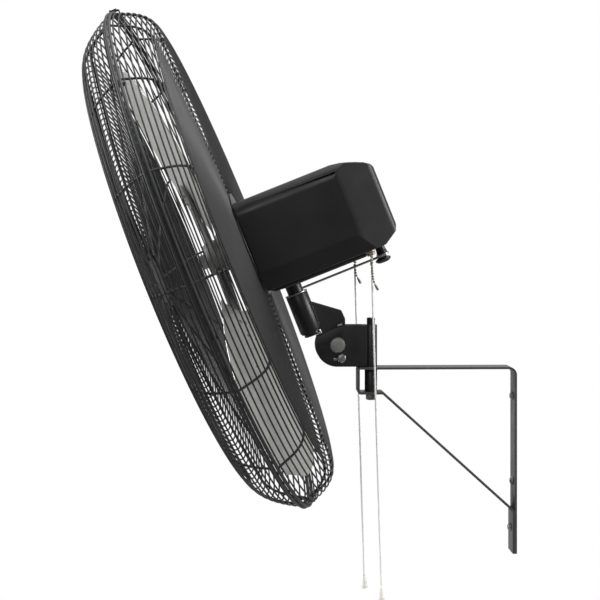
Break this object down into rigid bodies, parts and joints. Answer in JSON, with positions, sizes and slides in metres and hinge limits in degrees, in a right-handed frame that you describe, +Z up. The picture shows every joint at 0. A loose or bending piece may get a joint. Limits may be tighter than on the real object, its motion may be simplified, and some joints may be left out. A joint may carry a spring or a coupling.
{
  "type": "oscillating wall fan",
  "caption": "Wall-mounted oscillating fan: caged three-blade impeller, motor housing, tilt and swivel hinge on a flat strap bracket, two pull chains.",
  "frame": {"origin": "on the wall, in the bracket's plane of symmetry, at the middle of its wall leg's height", "axes": "+Z up, +Y into the wall, -Y out into the room the way the fan blows, +X to the right seen from the wall's room side looking at the wall"},
  "size_m": [0.7964, 0.6437, 0.8953],
  "materials": {
    "strap_paint": "satin grey paint",
    "bolt_grey": "dull zinc",
    "black_paint": "satin black paint",
    "zinc": "bright zinc",
    "guard_wire": "semi-gloss dark grey coating",
    "black_plastic": "satin black",
    "steel": "machined",
    "aluminium": "mill-finish sheet",
    "cast_aluminium": "as cast",
    "brass": "pale nickel-brass",
    "copper_wound": "varnished laminations and windings",
    "white_cord": "braided white cord",
    "white_plastic": "off-white"
  },
  "bodies": {
    "bracket": {"wall_bracket": "strap_paint", "wall_screw_top": "bolt_grey", "wall_screw_middle": "bolt_grey", "wall_screw_bottom": "bolt_grey", "post_bolt": "black_paint", "post_nut": "zinc", "post_spacer": "black_paint"},
    "post": {"swivel_tube": "black_paint", "tilt_clevis": "black_paint", "tilt_bolt": "bolt_grey", "tilt_nut": "bolt_grey"},
    "arm": {"tilt_arm": "black_paint", "neck_sleeve": "black_paint", "sleeve_washer": "zinc", "lock_screw": "zinc", "link_lug": "black_paint"},
    "rod": {"link_rod": "zinc"},
    "head": {"guard_front": "guard_wire", "guard_rear": "guard_wire", "guard_badge": "black_plastic", "guard_clip_top": "guard_wire", "guard_clip_bottom": "guard_wire", "guard_mount_ring": "black_paint", "motor_front_bell": "cast_aluminium", "motor_rear_bell": "cast_aluminium", "stator": "copper_wound", "front_bearing": "steel", "rear_bearing": "steel", "gearbox": "cast_aluminium", "neck_pin": "black_paint", "neck_circlip": "zinc", "housing_hood": "black_paint", "housing_base": "black_paint", "cable_gland": "black_plastic", "run_capacitor": "cast_aluminium", "near_pull_switch": "black_plastic", "far_pull_switch": "black_plastic", "near_chain_nozzle": "brass", "far_chain_nozzle": "brass"},
    "fan": {"motor_shaft": "steel", "shaft_nut": "zinc", "blade_hub": "cast_aluminium", "blade_1": "aluminium", "blade_2": "aluminium", "blade_3": "aluminium", "rotor": "steel", "worm": "brass"},
    "gear": {"worm_wheel": "brass"},
    "crank_shaft": {"crank": "zinc"},
    "knob": {"crank_knob": "black_plastic"},
    "near_switch_plunger": {"near_plunger": "steel"},
    "near_ball_joint": {"near_pull_ball": "brass"},
    "near_pull": {"near_chain": "brass", "near_cord": "white_cord", "near_bell": "white_plastic"},
    "far_switch_plunger": {"far_plunger": "steel"},
    "far_ball_joint": {"far_pull_ball": "brass"},
    "far_pull": {"far_chain": "brass", "far_cord": "white_cord", "far_bell": "white_plastic"}
  },
  "joints": [
    {"name": "post_swivel", "type": "hinge", "parent": "bracket", "child": "post", "pos_m": [0, -0.2205, 0.2], "axis": [0, 0, 1], "range_deg": [-30, 30]},
    {"name": "tilt_hinge", "type": "hinge", "parent": "post", "child": "arm", "pos_m": [0, -0.2726, 0.174], "axis": [1, 0, 0], "range_deg": [-21.8, 3.2]},
    {"name": "oscillation", "type": "hinge", "parent": "arm", "child": "head", "pos_m": [0, -0.33659, 0.25723], "axis": [0, -0.3714, 0.9285], "range_deg": [-40.8, 49.2], "deforming": ["near_cord", "near_bell", "far_cord", "far_bell"]},
    {"name": "fan_spin", "type": "hinge", "parent": "head", "child": "fan", "pos_m": [-0.00718, -0.46076, 0.3045], "axis": [0.0732, 0.926, 0.3704], "continuous": true},
    {"name": "worm_wheel_spin", "type": "hinge", "parent": "head", "child": "gear", "pos_m": [-0.0097, -0.20558, 0.3204], "axis": [0, -0.3714, 0.9285], "continuous": true},
    {"name": "crank_turn", "type": "hinge", "parent": "head", "child": "crank_shaft", "pos_m": [-0.0097, -0.20558, 0.3204], "axis": [0, -0.3714, 0.9285], "range_deg": [-74, 62]},
    {"name": "knob_turn", "type": "hinge", "parent": "crank_shaft", "child": "knob", "pos_m": [-0.02669, -0.20058, 0.30624], "axis": [0, -0.3714, 0.9285], "range_deg": [0, 180]},
    {"name": "link_rod_swing", "type": "hinge", "parent": "arm", "child": "rod", "pos_m": [-0.024, -0.33547, 0.25444], "axis": [0, -0.3714, 0.9285], "range_deg": [-41, 49.5]},
    {"name": "near_switch_pull", "type": "slide", "parent": "head", "child": "near_switch_plunger", "axis": [0, 0.3714, -0.9285], "range_m": [0, 0.006], "stiffness_N_per_m": 150, "springref_m": -0.005},
    {"name": "near_chain_yaw", "type": "hinge", "parent": "near_switch_plunger", "child": "near_ball_joint", "pos_m": [0.06522, -0.2251, 0.31119], "axis": [0, -0.3714, 0.9285], "range_deg": [-49.5, 41]},
    {"name": "near_chain_pitch", "type": "hinge", "parent": "near_ball_joint", "child": "near_pull", "pos_m": [0.06522, -0.2251, 0.31119], "axis": [1, 0, 0], "range_deg": [-3.5, 22]},
    {"name": "far_switch_pull", "type": "slide", "parent": "head", "child": "far_switch_plunger", "axis": [0, 0.3714, -0.9285], "range_m": [0, 0.006], "stiffness_N_per_m": 150, "springref_m": -0.005},
    {"name": "far_chain_yaw", "type": "hinge", "parent": "far_switch_plunger", "child": "far_ball_joint", "pos_m": [-0.04838, -0.24156, 0.30461], "axis": [0, -0.3714, 0.9285], "range_deg": [-49.5, 41]},
    {"name": "far_chain_pitch", "type": "hinge", "parent": "far_ball_joint", "child": "far_pull", "pos_m": [-0.04838, -0.24156, 0.30461], "axis": [1, 0, 0], "range_deg": [-3.5, 22]}
  ],
  "couplings": [
    {"joint": "worm_wheel_spin", "follows": "fan_spin", "ratio": 0.035714},
    {"joint": "crank_turn", "follows": "oscillation", "ratio": -1.5},
    {"joint": "link_rod_swing", "follows": "oscillation", "ratio": 1},
    {"joint": "near_chain_yaw", "follows": "oscillation", "ratio": -1},
    {"joint": "near_chain_pitch", "follows": "tilt_hinge", "ratio": -1},
    {"joint": "far_chain_yaw", "follows": "oscillation", "ratio": -1},
    {"joint": "far_chain_pitch", "follows": "tilt_hinge", "ratio": -1}
  ]
}
